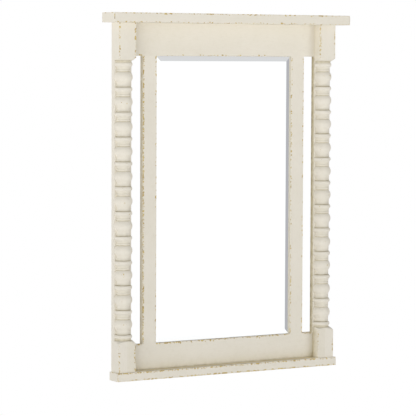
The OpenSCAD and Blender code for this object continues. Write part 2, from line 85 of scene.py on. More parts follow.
# Fineness of the meshes
STEP = 2.6 * MM               # distance from one row of points to the next along a board
SIDE_SPANS = 15               # spans across one side of a board
ARC_POINTS = 5                # points round one edge of a board
OUTLINE_STEP = 0.04 * MM      # step in height at which the outline of the CAD post is read
SHARP_ANGLE = 32              # an edge that turns by more than this, in degrees, stays crisp
TOUCH = 0.05 * MM             # points that are closer than this count as level with one another
FACE = 0.3 * MM               # points that are closer than this to a face belong to it

# Places read from the CAD frame
GLASS_LOW, GLASS_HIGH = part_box("mirror_glass")
PANEL_LOW, PANEL_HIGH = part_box("backing_panel")
INNER_LOW, INNER_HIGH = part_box("right_inner_stile")
OUTER_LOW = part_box("right_outer_stile")[0]
POST_LOW, POST_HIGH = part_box("right_turned_post")
LIP_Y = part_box("glass_setting_blocks")[0].y
OPENING_Z = (INNER_LOW.z, INNER_HIGH.z)
SLOT_X = (INNER_HIGH.x, OUTER_LOW.x)
OPENING_X = INNER_LOW.x

# The recesses in the back, as in part.scad
GLASS_ROOM, PANEL_ROOM = 1.5 * MM, 0.5 * MM    # gaps round the glass and round the backing panel
POCKET_WIDTH, POCKET_DEPTH, POCKET_RADIUS = 27 * MM, 6 * MM, 6 * MM
POCKET_TOP, POCKET_BOTTOM = 22 * MM, -44 * MM
SINK_ROOM = 0.12 * MM         # how far a countersink is wider all round than its screw's head
PAST_BACK = 2 * MM            # how far a cutter reaches out of the back


# Numbers

def smooth(low, high, value):
    t = np.clip((value - low) / (high - low), 0, 1)
    return t * t * (3 - 2 * t)


def value_noise(points, cell, seed):
    """Smooth noise from 0 to 1 at each point; cell is the size of one lump, or its sizes along X, Y and Z."""
    scaled = np.asarray(points) / np.asarray(cell)
    base = np.floor(scaled)
    t = scaled - base
    t = t * t * (3 - 2 * t)
    total = np.zeros(len(scaled))
    for corner in itertools.product((0, 1), repeat=3):
        lattice = base + corner
        mixed = np.sin(lattice @ (12.9898, 78.233, 37.719) + seed * 3.17) * 43758.5453
        share = np.prod(np.where(corner, t, 1 - t), axis=1)
        total += share * (mixed - np.floor(mixed))
    return total


# Meshes

def add_object(name, mesh, body=ROOT):
    obj = bpy.data.objects.new(name, mesh)
    bpy.context.scene.collection.objects.link(obj)
    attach(obj, body)
    return obj


def finish_mesh(mesh, angle=SHARP_ANGLE):
    """Outward normals, smooth shading and crisp edges."""
    bm = bmesh.new()
    bm.from_mesh(mesh)
    bmesh.ops.recalc_face_normals(bm, faces=bm.faces)
    bm.to_mesh(mesh)
    bm.free()
    mesh.polygons.foreach_set("use_smooth", [True] * len(mesh.polygons))
    mesh.set_sharp_from_angle(angle=math.radians(angle))
    mesh.update()


def vectors(mesh, what="co"):
    """The places of all points of a mesh, or their normals."""
    values = np.empty(len(mesh.vertices) * 3)
    mesh.vertices.foreach_get(what, values)
    return values.reshape(-1, 3)


def set_values(mesh, name, values):
    attribute = mesh.attributes.get(name) or mesh.attributes.new(name, "FLOAT", "POINT")
    attribute.data.foreach_set("value", np.asarray(values, np.float32))


def tube_mesh(name, rows):
    """A closed mesh from rows of points, each row a ring; the first and last rings are filled."""
    count, around, _ = rows.shape
    index = np.arange(count * around).reshape(count, around)
    here, ahead = index[:-1], index[1:]
    quads = np.stack([here, np.roll(here, -1, 1), np.roll(ahead, -1, 1), ahead], axis=-1)
    faces = quads.reshape(-1, 4).tolist() + [index[0][::-1].tolist(), index[-1].tolist()]
    mesh = bpy.data.meshes.new(name)
    mesh.from_pydata(rows.reshape(-1, 3).tolist(), [], faces)
    return mesh


def wear_down(mesh, wear, seed, stretch, density):
    """Chips and waves along the worn edges, as real dents and as the values that the paint reads.
    density says how thick the chips lie, as in CHIPS, and is one number or one for each point."""
    finish_mesh(mesh)
    points, normals = vectors(mesh), vectors(mesh, "normal")
    lumps = value_noise(points, CHIP_SIZE * np.array(stretch), seed)
    patches = value_noise(points, PATCH_SIZE, seed + 5)
    level = 0.80 - 0.42 * density - 0.2 * (patches - 0.5)     # the paint is gone where a lump is above this
    chip = smooth(level, level + 0.12, lumps - 0.6 * (1 - wear)) * (wear > 0.05)
    wave = value_noise(points, WAVE_SIZE, seed + 9)
    depth = CHIP_DEPTH * chip + WAVE_DEPTH * wave * wear
    points -= normals * depth[:, None]
    mesh.vertices.foreach_set("co", points.ravel())
    set_values(mesh, "chip", chip)
    set_values(mesh, "rub", wear * np.clip(density + 0.2, 0, 1))
    mesh.update()


# Boards

def stations(length, eased):
    """Rows along a board as (distance from its low end, inset of the outline)."""
    start = [(0.0, inset * MM) for inset in (12, 7, 4, 2.4)]
    if eased:
        for i in range(ARC_POINTS):
            turn = math.radians(90 * i / (ARC_POINTS - 1))
            start.append((EASE * (1 - math.cos(turn)), EASE * (1 - math.sin(turn))))
        start += [(EASE + d * MM, 0.0) for d in (0.8, 2.0)]
    else:
        start.append((0.0, 0.0))
    first = start[-1][0] + STEP
    count = round((length - 2 * first) / STEP)
    middle = [(first + (length - 2 * first) * i / count, 0.0) for i in range(count + 1)]
    return np.array(start + middle + [(length - t, inset) for t, inset in reversed(start)])


def board_mesh(name, low, high, along, exposure, eased_ends=False):
    """A board as one fine skin, and how worn each of its points is.
    exposure(k, place) says from 0 to 1 how open long edge k is at each place along the board. Edges 0 to 3 go
    round: front bottom, back bottom, back top and front top on a level board, or left front, right front,
    right back and left back on an upright one."""
    a, u, v = {"X": (0, 1, 2), "Z": (2, 0, 1)}[along]
    low, high = np.array(low), np.array(high)
    size = high - low
    rows = stations(size[a], eased_ends)
    t, inset = rows[:, 0], rows[:, 1]
    place = low[a] + t
    corners = [(0, 0), (size[u], 0), (size[u], size[v]), (0, size[v])]
    inward = [(1, 1), (-1, 1), (-1, -1), (1, -1)]
    arcs, open_edge = [], []
    for k in range(4):
        openness = exposure(k, place)
        radius = np.maximum(TIGHT + (EASE - TIGHT) * openness - inset, 0.01 * MM)
        centre = [corners[k][i] + inward[k][i] * (inset + radius) for i in (0, 1)]
        turns = [math.pi * (1 + k / 2 + j / 2 / (ARC_POINTS - 1)) for j in range(ARC_POINTS)]
        arcs.append([np.stack([centre[0] + radius * math.cos(turn), centre[1] + radius * math.sin(turn)], 1)
                     for turn in turns])
        open_edge.append(openness)
    outline, edge_gap, edge_open = [], [], []
    for k in range(4):
        outline += arcs[k]
        edge_gap += [np.zeros(len(t))] * ARC_POINTS
        edge_open += [open_edge[k]] * ARC_POINTS
        start, end = arcs[k][-1], arcs[(k + 1) % 4][0]
        span = np.linalg.norm(end - start, axis=1)
        for j in range(1, SIDE_SPANS):
            f = 0.5 - 0.5 * math.cos(math.pi * j / SIDE_SPANS)
            outline.append(start * (1 - f) + end * f)
            edge_gap.append(span * min(f, 1 - f))
            edge_open.append(open_edge[k] if f < 0.5 else open_edge[(k + 1) % 4])
    flat = np.stack(outline, axis=1)
    points = np.empty((len(t), flat.shape[1], 3))
    points[:, :, a] = place[:, None]
    points[:, :, u] = low[u] + flat[:, :, 0]
    points[:, :, v] = low[v] + flat[:, :, 1]
    on_front = points[:, :, 1] < low[1] + TOUCH
    gap = np.stack(edge_gap, axis=1)
    gap = np.where(on_front, np.maximum(gap - FRONT_BIAS, 0), SIDE_SQUEEZE * gap)
    openness = np.stack(edge_open, axis=1)
    wear = np.exp(-(gap / WEAR_REACH) ** 2) * openness * np.exp(-(inset[:, None] / WEAR_REACH) ** 2)
    if eased_ends:
        from_end = np.minimum(t, size[a] - t)[:, None] + inset[:, None]
        wear = np.maximum(wear, np.exp(-(from_end / WEAR_REACH) ** 2))
    return tube_mesh(name, points), wear.ravel()


def cut(obj, cutters, material):
    """Takes cutter meshes away from an object with a boolean. Faces that this opens get the material."""
    joined = bmesh.new()
    for cutter in cutters:
        joined.from_mesh(cutter)
        bpy.data.meshes.remove(cutter)
    mesh = bpy.data.meshes.new("cutter")
    joined.to_mesh(mesh)
    joined.free()
    mesh.materials.append(material)
    tool = bpy.data.objects.new("cutter", mesh)
    bpy.context.scene.collection.objects.link(tool)
    modifier = obj.modifiers.new("cut", "BOOLEAN")
    modifier.operation = "DIFFERENCE"
    modifier.solver = "MANIFOLD"
    modifier.material_mode = "TRANSFER"
    modifier.object = tool
    bpy.context.view_layer.update()
    result = bpy.data.meshes.new_from_object(obj.evaluated_get(bpy.context.evaluated_depsgraph_get()))
    obj.modifiers.clear()
    old = obj.data
    obj.data = result
    bpy.data.meshes.remove(old)
    bpy.data.objects.remove(tool)
    bpy.data.meshes.remove(mesh)
    obj.data.polygons.foreach_set("use_smooth", [True] * len(obj.data.polygons))
    obj.data.set_sharp_from_angle(angle=math.radians(SHARP_ANGLE))


def box_cutter(low, high):
    bm = bmesh.new()
    size = Vector(high) - Vector(low)
    matrix = Matrix.Translation((Vector(low) + Vector(high)) / 2) @ Matrix.Diagonal((*size, 1))
    bmesh.ops.create_cube(bm, size=1, matrix=matrix)
    mesh = bpy.data.meshes.new("box")
    bm.to_mesh(mesh)
    bm.free()
    return mesh


def outline_cutter(points, low_y, high_y):
    """A prism along Y over an outline of (x, z) points."""
    rows = np.array([[(x, y, z) for x, z in points] for y in (low_y, high_y)])
    mesh = tube_mesh("prism", rows)
    finish_mesh(mesh)
    return mesh


# Screws

def islands(node):
    """The points of each separate solid in a CAD node."""
    bm = bmesh.new()
    bm.from_mesh(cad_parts[node].data)
    bmesh.ops.remove_doubles(bm, verts=bm.verts, dist=0.001 * MM)
    left = set(bm.verts)
    found = []
    while left:
        stack, members = [left.pop()], []
        while stack:
            vert = stack.pop()
            members.append(vert.co.copy())
            for edge in vert.link_edges:
                other = edge.other_vert(vert)
                if other in left:
                    left.remove(other)
                    stack.append(other)
        found.append(np.array(members))
    bm.free()
    return sorted(found, key=lambda points: tuple(points.min(0).round(6)))


def screw_form(points):
    """What the points of a CAD screw say about it: its box, its long axis, whether its head is at the high end
    of that axis (in the back) or at the low end (underneath), its middle, the distance of each point from the
    axis, and the radius of its shank."""
    low, high = points.min(0), points.max(0)
    middle = (low + high) / 2
    axis = int(np.argmax(high - low))
    in_back = axis == 1
    across = [i for i in range(3) if i != axis]
    offset = np.linalg.norm((points - middle)[:, across], axis=1)
    tip = low[axis] if in_back else high[axis]
    shank = offset[np.abs(points[:, axis] - tip) < TOUCH].max()
    return low, high, axis, in_back, middle, offset, shank


def turned_in(in_back):
    """The turn that points a screw along -Z from the back into the frame, or upwards from underneath."""
    return Matrix.Rotation(-math.pi / 2 if in_back else math.pi, 4, "X")


def ring(turn, radius, z):
    """Points round Z at the given turns. radius and z are one number or one for each point."""
    return np.stack([radius * np.cos(turn), radius * np.sin(turn), z * np.ones_like(turn)], 1)


def screw_rows(head, shank, length, pan):
    """Rings of a cross-head screw that points to -Z, from the middle of its head to its tip.
    pan is the height of a pan head, or 0 for a countersunk one whose head is level with the origin."""
    turn = np.linspace(0, 2 * math.pi, 32, endpoint=False)

    def recess(radius):
        x, y = np.abs(radius * np.cos(turn)), np.abs(radius * np.sin(turn))
        across, along = np.minimum(x, y), np.maximum(x, y)
        arm = smooth(0.17 * head, 0.09 * head, across) * smooth(0.62 * head, 0.5 * head, along)
        return 0.42 * head * arm * (1 - 0.35 * along / head)

    rows = []
    for f in (0.03, 0.08, 0.13, 0.18, 0.26, 0.34, 0.42, 0.5, 0.56, 0.62, 0.72, 0.82, 0.9, 0.96):
        dome = pan * (1 - 0.45 * f ** 3)
        rows.append(ring(turn, f * head, dome - recess(f * head)))
    if pan:
        rows += [ring(turn, f * head, pan * z) for f, z in ((0.99, 0.46), (1.0, 0.36), (1.0, 0.1), (0.98, 0.0))]
        neck = 0
    else:
        rim = 0.12 * MM            # how far the edge of the head lies below its face
        rows += [ring(turn, head - inset * MM, -rim - inset * MM) for inset in (0.0, 0.06)]
        neck = -(head - shank)
    core = 0.74 * shank
    rows.append(ring(turn, core, neck))
    pitch = 0.85 * shank
    count = math.ceil((length + neck) / pitch * 5)
    for i in range(1, count + 1):
        f = i / count
        z = neck + (-length - neck) * f
        taper = min(1, (1 - f) * length / (3 * shank) + 0.04)
        ridge = np.abs(((z / pitch + turn / (2 * math.pi)) % 1) * 2 - 1) ** 3
        rows.append(ring(turn, taper * (core + (shank - core) * ridge * min(1, 8 * f)), z))
    return np.array(rows)


def screws(name, node, pan=False):
    """Cross-head screws in place of the plain ones of a CAD node. Their axis is the long side of each solid."""
    rng = random.Random(name)
    bm = bmesh.new()
    for points in islands(node):
        low, high, axis, in_back, middle, offset, shank = screw_form(points)
        head = offset.max()
        at_head = offset > head - 0.02 * MM
        inner = (points[at_head, axis] if in_back else -points[at_head, axis]).min()
        top = high[axis] if in_back else -low[axis]
        rise = top - inner if pan else 0      # height of the head above the strap
        mesh = tube_mesh("screw", screw_rows(head, shank, high[axis] - low[axis] - rise, rise))
        middle[axis] = high[axis] - rise if in_back else low[axis]
        spin = Matrix.Rotation(rng.uniform(0, math.pi), 4, "Z")
        mesh.transform(Matrix.Translation(middle) @ turned_in(in_back) @ spin)
        bm.from_mesh(mesh)
        bpy.data.meshes.remove(mesh)
    mesh = bpy.data.meshes.new(name)
    bm.to_mesh(mesh)
    bm.free()
    finish_mesh(mesh, angle=40)
    mesh.materials.append(ZINC)
    obj = add_object(name, mesh)
    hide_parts(node)


def sink_cutters(node):
    """Countersinks and shank holes for the screws of a CAD node."""
    turn = np.linspace(0, 2 * math.pi, 40, endpoint=False)
    cutters = []
    for points in islands(node):
        low, high, axis, in_back, middle, offset, shank = screw_form(points)
        head = offset.max() + SINK_ROOM
        below_head, past_tip = -(head - shank) - TOUCH, low[axis] - high[axis] - MM
        profile = ((head, MM), (head, -TOUCH), (shank, below_head), (shank, past_tip))
        mesh = tube_mesh("sink", np.array([ring(turn, radius, z) for radius, z in profile]))
        middle[axis] = high[axis] if in_back else low[axis]
        mesh.transform(Matrix.Translation(middle) @ turned_in(in_back))
        finish_mesh(mesh)
        cutters.append(mesh)
    return cutters


# Turned posts

def turned_outline():
    """The outline of a post as (height, radius) from the bottom up, read from the widest points of the CAD
    post. Inside the square blocks the radius is larger than that of their corners."""
    co = vectors(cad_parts["right_turned_post"].data)
    half = (POST_HIGH.x - POST_LOW.x) / 2
    radius = np.hypot(co[:, 0] - (POST_LOW.x + half), co[:, 1] - POST_HIGH.y)
    skin = radius > 0.69 * half
    level = np.round(co[skin, 2] / OUTLINE_STEP).astype(int)
    radius = radius[skin]
    outline = [(k * OUTLINE_STEP, radius[level == k].max()) for k in np.unique(level)]
    blocks = [z for z, r in outline if r > 1.36 * half]
    middle = (POST_LOW.z + POST_HIGH.z) / 2
    low_block = max(z for z in blocks if z < middle)
    high_block = min(z for z in blocks if z > middle)
    turned = [(z, r) for z, r in outline if low_block <= z <= high_block]
    wide = 1.6 * half
    return [(POST_LOW.z, wide), (low_block, wide), *turned, (high_block, wide), (POST_HIGH.z, wide)]


OUTLINE = turned_outline()
COLUMN_Z = (OUTLINE[2][0], OUTLINE[-3][0])


def rounded(points, step):
    """A smooth line through the points that keeps the sharp corners, with a point at every step."""
    points = np.array(points)
    legs = np.diff(points, axis=0)
    heading = np.arctan2(legs[:, 1], legs[:, 0])
    corner = np.concatenate([[True], np.abs(np.diff(heading)) > math.radians(50), [True]])
    line = []
    for i in range(len(points) - 1):
        p1, p2 = points[i], points[i + 1]
        p0 = 2 * p1 - p2 if corner[i] else points[i - 1]
        p3 = 2 * p2 - p1 if corner[i + 1] else points[i + 2]
        count = max(1, math.ceil(np.linalg.norm(p2 - p1) / step))
        for j in range(count):
            t = j / count
            bend = 2 * p0 - 5 * p1 + 4 * p2 - p3 + t * (3 * p1 - p0 - 3 * p2 + p3)
            line.append(p1 + t / 2 * (p2 - p0 + t * bend))
    line.append(points[-1])
    return np.array(line)


def averaged(values, count):
    """The mean of the count values round each value."""
    return np.convolve(np.pad(values, count // 2, mode="edge"), np.ones(count) / count, mode="valid")


def widest(values, reach):
    """The largest of the values that lie up to reach places from each value."""
    return np.max([np.roll(values, k) for k in range(-reach, reach + 1)], axis=0)


def square_reach(angle, half):
    """Distance from the axis to the face of the square block in each direction, with its eased corners."""
    across, along = np.abs(np.cos(angle)), np.sin(angle)
    low, high = np.minimum(across, along), np.maximum(across, along)
    centre = half - EASE
    reach = centre * (across + along)
    arc = reach + np.sqrt(np.maximum(reach ** 2 - 2 * centre ** 2 + EASE ** 2, 0))
    return np.where(low * half > centre * high, arc, half / high)


def groove_glaze_and_shade(line, half):
    """How deep in a groove each point of a post's outline lies, from 0 to 1, for the glaze and the painted
    shade there.
    A groove is where the outline is slimmer than its mean over 5.5 mm. Near a block it counts for less. Beside
    the widest parts it counts for more, and painted shade trails up from it over the lower end of the bead
    above."""
    step = 0.5 * MM
    z = np.arange(line[0, 0], line[-1, 0], step)
    slim = np.minimum(np.interp(z, line[:, 0], line[:, 1]), 1.1 * half)
    beside_wide = smooth(0.8 * half, 0.86 * half, widest(slim, 3))
    groove = np.clip((averaged(slim, 11) - slim) / (0.4 * MM), 0, 1)
    groove = groove * np.where(widest(slim, 18) > 1.05 * half, 0.75, 1)
    # glaze in the groove, together with painted shade where the groove is hidden from the light
    sharp = averaged(widest(groove * (0.64 + 0.36 * beside_wide), 1), 3)
    shade_trail = averaged(widest(groove * beside_wide, 1), 3)
    # painted shade: darkens the lower end of each bead above a groove
    shade_tail = np.max([(1 - k / 22) * np.roll(shade_trail, k) for k in range(22)], axis=0)
    return np.interp(line[:, 0], z, np.maximum(sharp, 0.5 * shade_tail))


def post_mesh(name, node, seed):
    """A post as one fine skin: turned where its outline is slimmer than the square block, square elsewhere."""
    low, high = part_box(node)
    half = (high.x - low.x) / 2
    line = rounded(OUTLINE, 1.0 * MM)
    at_corners = [math.radians(corner + 0.7 * k) for corner in (45, 135) for k in range(-7, 8)]
    angle = np.array(sorted(set(np.linspace(0, math.pi, 49).tolist() + at_corners)))
    reach = square_reach(angle, half)
    z, turned = line[:, :1], line[:, 1:]
    radius = np.minimum(turned, reach[None, :])
    soft = np.clip(np.abs(turned - reach[None, :]) / SHOULDER_EASE, 0, 1)
    shoulder = widest(line[:, 1], 6)[:, None] > 1.1 * half
    radius = radius - shoulder * 0.25 * SHOULDER_EASE * (1 - soft) ** 2
    points = np.empty(radius.shape + (3,))
    points[:, :, 0] = low.x + half + radius * np.cos(angle)
    points[:, :, 1] = high.y - radius * np.sin(angle)
    points[:, :, 2] = z

    # Wear along the corners of the blocks, round the rims where they end, and on the crowns of the turning
    in_block = turned > reach[None, :]
    to_corner = np.minimum(np.abs(angle - math.pi / 4), np.abs(angle - 3 * math.pi / 4)) * half * math.sqrt(2)
    on_front = np.abs(angle - math.pi / 2) < math.pi / 4
    to_corner = np.maximum(to_corner - 2 * FRONT_BIAS * on_front, 0)
    block_wear = np.where(in_block, np.exp(-(to_corner / WEAR_REACH) ** 2)[None, :], 0)
    rim_wear = np.exp(-((turned - reach[None, :]) / (1.4 * MM)) ** 2) * (reach[None, :] > half * 1.02)
    crown = smooth(0.9 * half, 0.96 * half, radius) * (turned < 1.02 * half) * smooth(0.3, 0.6, np.sin(angle))
    toward_rail = np.cos(angle)[None, :] * low.x < 0
    in_low_block = (z < low.z + LOW_BLOCK) * np.ones_like(radius)
    on_block = np.where(in_low_block, LOW_BLOCK_CHIPS, np.where(toward_rail, *CHIPS[node]))
    density = np.where(crown > block_wear, CROWN_CHIPS, on_block)
    wear = np.maximum(np.maximum(block_wear, 0.6 * rim_wear), crown)
    mesh = tube_mesh(name, points)
    wear_down(mesh, wear.ravel(), seed, (1.0, 1.0, 1.1), density.ravel())

    # Glaze and painted shade in the grooves, painted shadow in the seam and painted shade on the blocks by the
    # rail
    # glaze and painted shade in the grooves of the turning
    groove_glaze_shade = 0.93 * groove_glaze_and_shade(line, half)[:, None] * np.ones_like(radius)
    beside = np.minimum(angle, math.pi - angle)[None, :] * radius
    # painted shadow along the line where the slim parts of the turning meet the stile
    seam_shade = 0.6 * np.exp(-beside / (1.8 * MM)) * smooth(-0.93 * half, -0.85 * half, -radius)
    # painted shade on the sides of the blocks toward the rail, darkest toward the back and stronger on the
    # lower block
    corner = in_block * toward_rail * np.exp(-beside / (40 * MM)) * np.where(in_low_block, 0.8, 0.38)
    corner += 0.25 * in_block * in_low_block * toward_rail * np.exp(-beside / (4 * MM))
    set_values(mesh, "glaze_and_shade", np.maximum(np.maximum(groove_glaze_shade, seam_shade), corner).ravel())
    # a yellow tint in the deepest grooves, which colours their glaze and painted shade
    set_values(mesh, "tint", 0.7 * smooth(0.45, 0.9, groove_glaze_shade).ravel())
    return mesh


# Shader helpers

def srgb(red, green, blue):
    """A colour as read from a screen, 0 to 255, in the linear values that a shader takes."""
    shares = [channel / 255 for channel in (red, green, blue)]
    return tuple(s / 12.92 if s < 0.04 else ((s + 0.055) / 1.055) ** 2.4 for s in shares) + (1,)


def plug(tree, socket, value):
    """Gives a node's input a value or the output of another node."""
    if isinstance(value, bpy.types.NodeSocket):
        tree.links.new(value, socket)
    else:
        socket.default_value = value


def add_node(tree, kind, inputs=(), output=0, **settings):
    """Adds a node with its settings and inputs, and gives one of its outputs."""
    node = tree.nodes.new(kind)
    for key, value in settings.items():
        setattr(node, key, value)
    for key, value in dict(inputs).items():
        plug(tree, node.inputs[key], value)
    return node.outputs[output]


class Nodes:
    """A material and short ways to add nodes to it."""

    def __init__(self, name):
        self.material = bpy.data.materials.new(name)
        self.material.use_nodes = True
        self.tree = self.material.node_tree
        self.surface = self.tree.nodes["Principled BSDF"]

    def add(self, kind, inputs=(), output=0, **settings):
        return add_node(self.tree, kind, inputs, output, **settings)

    def math(self, operation, a, b=0.0):
        return self.add("ShaderNodeMath", {0: a, 1: b}, operation=operation)

    def place(self, stretch=(1, 1, 1)):
        where = self.add("ShaderNodeTexCoord", output="Object")
        return self.add("ShaderNodeVectorMath", {0: where, 1: stretch}, operation="MULTIPLY")

    def noise(self, scale, detail=3.0, stretch=(1, 1, 1), roughness=0.5):
        inputs = {"Vector": self.place(stretch), "Scale": scale, "Detail": detail, "Roughness": roughness}
        return self.add("ShaderNodeTexNoise", inputs)

    def cells(self, scale):
        """The distance from the middle of each cell, and a random value for each cell."""
        distance = self.add("ShaderNodeTexVoronoi", {"Vector": self.place(), "Scale": scale}, feature="F1")
        return distance, self.add("ShaderNodeSeparateColor", {"Color": distance.node.outputs["Color"]})

    def value(self, name):
        return self.add("ShaderNodeAttribute", output="Fac", attribute_name=name)

    def fade(self, value, low, high, to_low=0.0, to_high=1.0):
        inputs = {"Value": value, "From Min": low, "From Max": high, "To Min": to_low, "To Max": to_high}
        return self.add("ShaderNodeMapRange", inputs, interpolation_type="SMOOTHSTEP")

    def centred(self, value, amount):
        """A value from 0 to 1, moved and scaled to lie round 0."""
        return self.math("MULTIPLY", self.math("SUBTRACT", value, 0.5), amount)

    def mix(self, factor, a, b):
        return self.add("ShaderNodeMix", {0: factor, 6: a, 7: b}, output=2, data_type="RGBA")

    def bump(self, height, distance, strength):
        return self.add("ShaderNodeBump", {"Height": height, "Distance": distance, "Strength": strength})

    def set(self, **inputs):
        for key, value in inputs.items():
            plug(self.tree, self.surface.inputs[key.replace("_", " ")], value)
        return self.material


def facing(n, axis):
    """How far the surface faces along an axis, from -1 to 1."""
    normal = n.add("ShaderNodeNewGeometry", output="Normal")
    return n.add("ShaderNodeSeparateXYZ", {"Vector": normal}, output=axis)


def bare_wood_colour(n, along):
    """The colour of pale raw wood with its grain along X or Z, and its fibres."""
    fine = (1, 9, 9) if along == "X" else (9, 9, 1)
    rings = n.noise(9.0, 4.0, tuple(0.35 * f for f in fine), 0.55)
    fibres = n.noise(70.0, 5.0, fine, 0.65)
    colour = n.mix(n.fade(rings, 0.35, 0.65), srgb(214, 184, 138), srgb(190, 152, 103))
    return n.mix(n.fade(fibres, 0.3, 0.75, 0.0, 0.35), colour, srgb(160, 120, 76)), fibres


# Materials

CREAM, CREAM_DULL = srgb(232, 226, 213), srgb(229, 223, 209)
BRUSHED, MOTTLED = srgb(218, 211, 194), srgb(214, 206, 187)
# A yellow tint that colours the painted shade and glaze in grooves and joints
YELLOW_TINT = srgb(236, 219, 172)
# Colours of the glaze and of the painted shade, from light to dark
GLAZE_SHADE_THIN, GLAZE_SHADE_FULL, GLAZE_SHADE_DARK = srgb(218, 211, 192), srgb(183, 171, 137), srgb(132, 114, 76)
OCHRE, OCHRE_DULL, OCHRE_DARK = srgb(206, 183, 114), srgb(186, 160, 98), srgb(126, 104, 60)


def paint(along):
    """Worn cream paint: brushed, chipped at the edges, with ochre glaze and painted shade in hollows, corners
    and slots, and a raw back.
    """
    n = Nodes("cream_paint_" + along.lower())
    brush = (1, 7, 7) if along == "X" else (7, 7, 1)
    chip, glaze_and_shade, tint = n.value("chip"), n.value("glaze_and_shade"), n.value("tint")
    cloud = n.noise(7.0, 3.0)
    mottle = n.noise(90.0, 4.0)
    streak = n.noise(60.0, 4.0, brush, 0.6)
    crumble = n.noise(900.0, 3.0)
    colour = n.mix(n.fade(cloud, 0.3, 0.7), CREAM, CREAM_DULL)
    colour = n.mix(n.fade(streak, 0.35, 0.8, 0.0, 0.24), colour, BRUSHED)
    colour = n.mix(n.fade(mottle, 0.5, 0.8, 0.0, 0.2), colour, MOTTLED)
    # yellow tint where the painted shade and glaze lie
    yellow = n.math("MULTIPLY", tint, n.fade(mottle, 0.25, 0.7, 0.7, 1.1))
    colour = n.mix(yellow, colour, YELLOW_TINT)
    # The glaze value browns and darkens the paint: partly ochre glaze, partly painted shade
    ragged_glaze_shade = n.math("MULTIPLY", glaze_and_shade, n.fade(mottle, 0.25, 0.7, 0.78, 1.05))
    colour = n.mix(n.fade(ragged_glaze_shade, 0.0, 0.7), colour, GLAZE_SHADE_THIN)
    colour = n.mix(n.fade(ragged_glaze_shade, 0.4, 1.0), colour, GLAZE_SHADE_FULL)
    colour = n.mix(n.fade(ragged_glaze_shade, 0.95, 1.35), colour, GLAZE_SHADE_DARK)
    dots, pick = n.cells(26.0)
    dot = n.math("MULTIPLY", n.fade(dots, 0.052, 0.03), n.fade(pick, 0.90, 0.92))
    broken = n.math("ADD", n.centred(n.noise(150.0, 1.0), 1.8), n.centred(crumble, 0.5))
    broken = n.math("MULTIPLY", broken, n.fade(chip, 0.0, 0.3))
    bite = n.fade(n.math("ADD", chip, broken), 0.36, 0.5)
    scratch = n.fade(n.math("ADD", n.noise(380.0, 2.0), n.math("MULTIPLY", n.value("rub"), 0.24)), 0.79, 0.83)
    bite = n.math("MAXIMUM", bite, scratch)
    gone = n.math("MAXIMUM", bite, n.math("MULTIPLY", dot, n.fade(crumble, 0.3, 0.5)))
    wood = n.mix(n.fade(n.noise(60.0, 3.0), 0.42, 0.62), OCHRE, OCHRE_DULL)
    wood = n.mix(n.fade(n.noise(160.0, 2.0), 0.58, 0.68, 0.0, 0.45), wood, OCHRE_DARK)
    colour = n.mix(gone, colour, wood)
    raw, fibres = bare_wood_colour(n, along)
    edge_of_paint = n.math("ADD", facing(n, "Y"), n.centred(mottle, 0.15))
    back = n.fade(edge_of_paint, 0.86, 0.93)
    colour = n.mix(back, colour, raw)
    height = n.math("ADD", n.math("MULTIPLY", streak, 0.55), n.math("MULTIPLY", mottle, 0.6))
    height = n.math("SUBTRACT", height, n.math("MULTIPLY", gone, 1.6))
    height = n.math("ADD", height, n.math("MULTIPLY", back, n.math("MULTIPLY", fibres, 1.5)))
    rough = n.fade(cloud, 0.3, 0.7, 0.42, 0.52)
    rough = n.math("ADD", rough, n.math("MULTIPLY", n.math("MAXIMUM", gone, back), 0.3))
    return n.set(Base_Color=colour, Roughness=rough, Normal=n.bump(height, 0.25 * MM, 0.6))


def raw_wood(along):
    n = Nodes("raw_wood_" + along.lower())
    colour, fibres = bare_wood_colour(n, along)
    return n.set(Base_Color=colour, Roughness=0.75, Normal=n.bump(fibres, 0.1 * MM, 0.6))


def silvered_glass():
    n = Nodes("silvered_glass")
    tint = n.noise(5.0, 2.0)
    colour = n.mix(tint, srgb(254, 255, 255), srgb(253, 254, 254))
    return n.set(Base_Color=colour, Metallic=1.0, Roughness=n.fade(tint, 0.2, 0.8, 0.004, 0.012))


def zinc():
    n = Nodes("zinc_steel")
    _, tone = n.cells(700.0)
    scuff = n.noise(320.0, 4.0, (1, 1, 0.2), 0.65)
    colour = n.mix(n.fade(tone, 0.0, 1.0, 0.0, 0.5), srgb(206, 208, 210), srgb(178, 181, 186))
    colour = n.mix(n.fade(scuff, 0.62, 0.8, 0.0, 0.5), colour, srgb(150, 146, 136))
    rough = n.fade(scuff, 0.3, 0.7, 0.26, 0.44)
    return n.set(Base_Color=colour, Metallic=1.0, Roughness=rough, Normal=n.bump(scuff, 0.05 * MM, 0.5))


def hardboard():
    n = Nodes("hardboard")
    fibre = n.noise(240.0, 6.0, roughness=0.7)
    flecks = n.noise(900.0, 3.0, roughness=0.6)
    cloud = n.noise(3.0, 3.0)
    colour = n.mix(n.fade(cloud, 0.3, 0.7), srgb(134, 98, 66), srgb(118, 84, 55))
    colour = n.mix(n.fade(fibre, 0.35, 0.75, 0.0, 0.6), colour, srgb(88, 60, 38))
    colour = n.mix(n.fade(flecks, 0.6, 0.75, 0.0, 0.45), colour, srgb(170, 132, 92))
    rough = n.fade(fibre, 0.3, 0.7, 0.5, 0.68)
    return n.set(Base_Color=colour, Roughness=rough, Normal=n.bump(fibre, 0.12 * MM, 0.7))


def beech():
    n = Nodes("beech_dowel")
    colour, fibres = bare_wood_colour(n, "Z")
    return n.set(Base_Color=colour, Roughness=0.62, Normal=n.bump(fibres, 0.08 * MM, 0.6))


def foam():
    n = Nodes("white_foam")
    cells, _ = n.cells(1400.0)
    colour = n.mix(n.fade(cells, 0.2, 0.7), srgb(236, 236, 232), srgb(214, 214, 208))
    return n.set(Base_Color=colour, Roughness=0.85, Normal=n.bump(cells, 0.2 * MM, 0.8))


